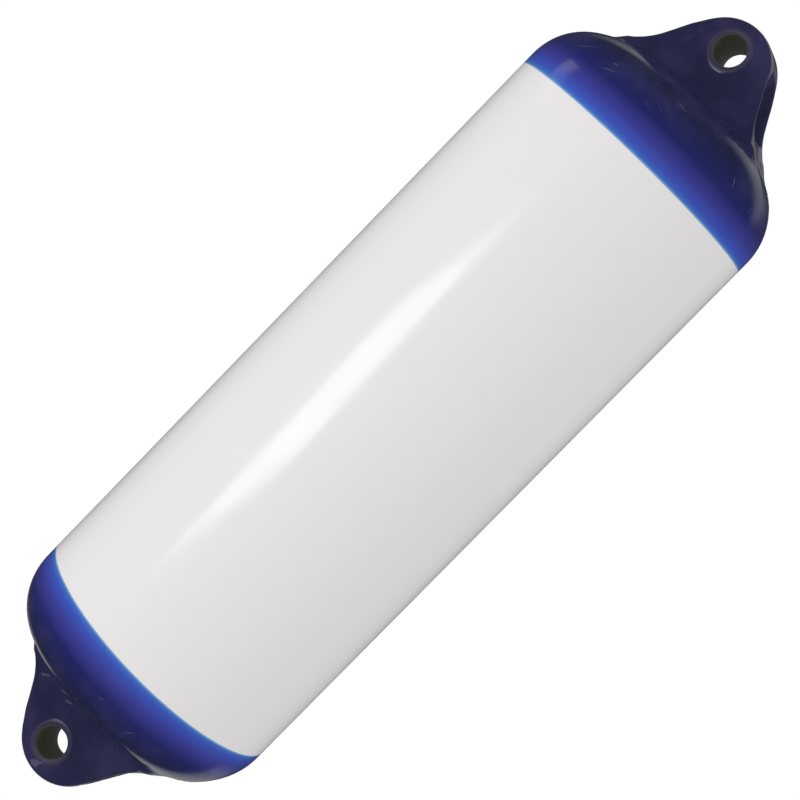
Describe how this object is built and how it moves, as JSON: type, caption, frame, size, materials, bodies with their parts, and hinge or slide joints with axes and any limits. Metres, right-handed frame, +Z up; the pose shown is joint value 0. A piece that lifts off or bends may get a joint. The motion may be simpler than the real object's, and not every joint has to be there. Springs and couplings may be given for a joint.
{
  "type": "boat fender",
  "caption": "Inflated white PVC boat fender with navy blue moulded ends, each ending in a thick flat eye with a round rope hole, hung upright by the upper eye.",
  "frame": {"origin": "centre of the rope hole of the upper eye, which the fender hangs on", "axes": "+Z up along the fender's long axis, upper eye at the top; the upper rope hole runs along Y; -Y is the side the picture shows, and +X is to the right when seen from -Y"},
  "size_m": [0.22, 0.22, 0.771],
  "materials": {
    "white_vinyl": "smooth glossy soft PVC",
    "blue_vinyl": "glossy, slightly translucent navy soft PVC, lighter and bluer towards the white tube",
    "black_nylon": "satin moulded nylon",
    "seal_rubber": "matt rubber"
  },
  "bodies": {
    "root": {"body_tube": "white_vinyl", "upper_end": "blue_vinyl", "lower_end": "blue_vinyl", "valve_screw": "black_nylon", "valve_o_ring": "seal_rubber"}
  },
  "joints": []
}
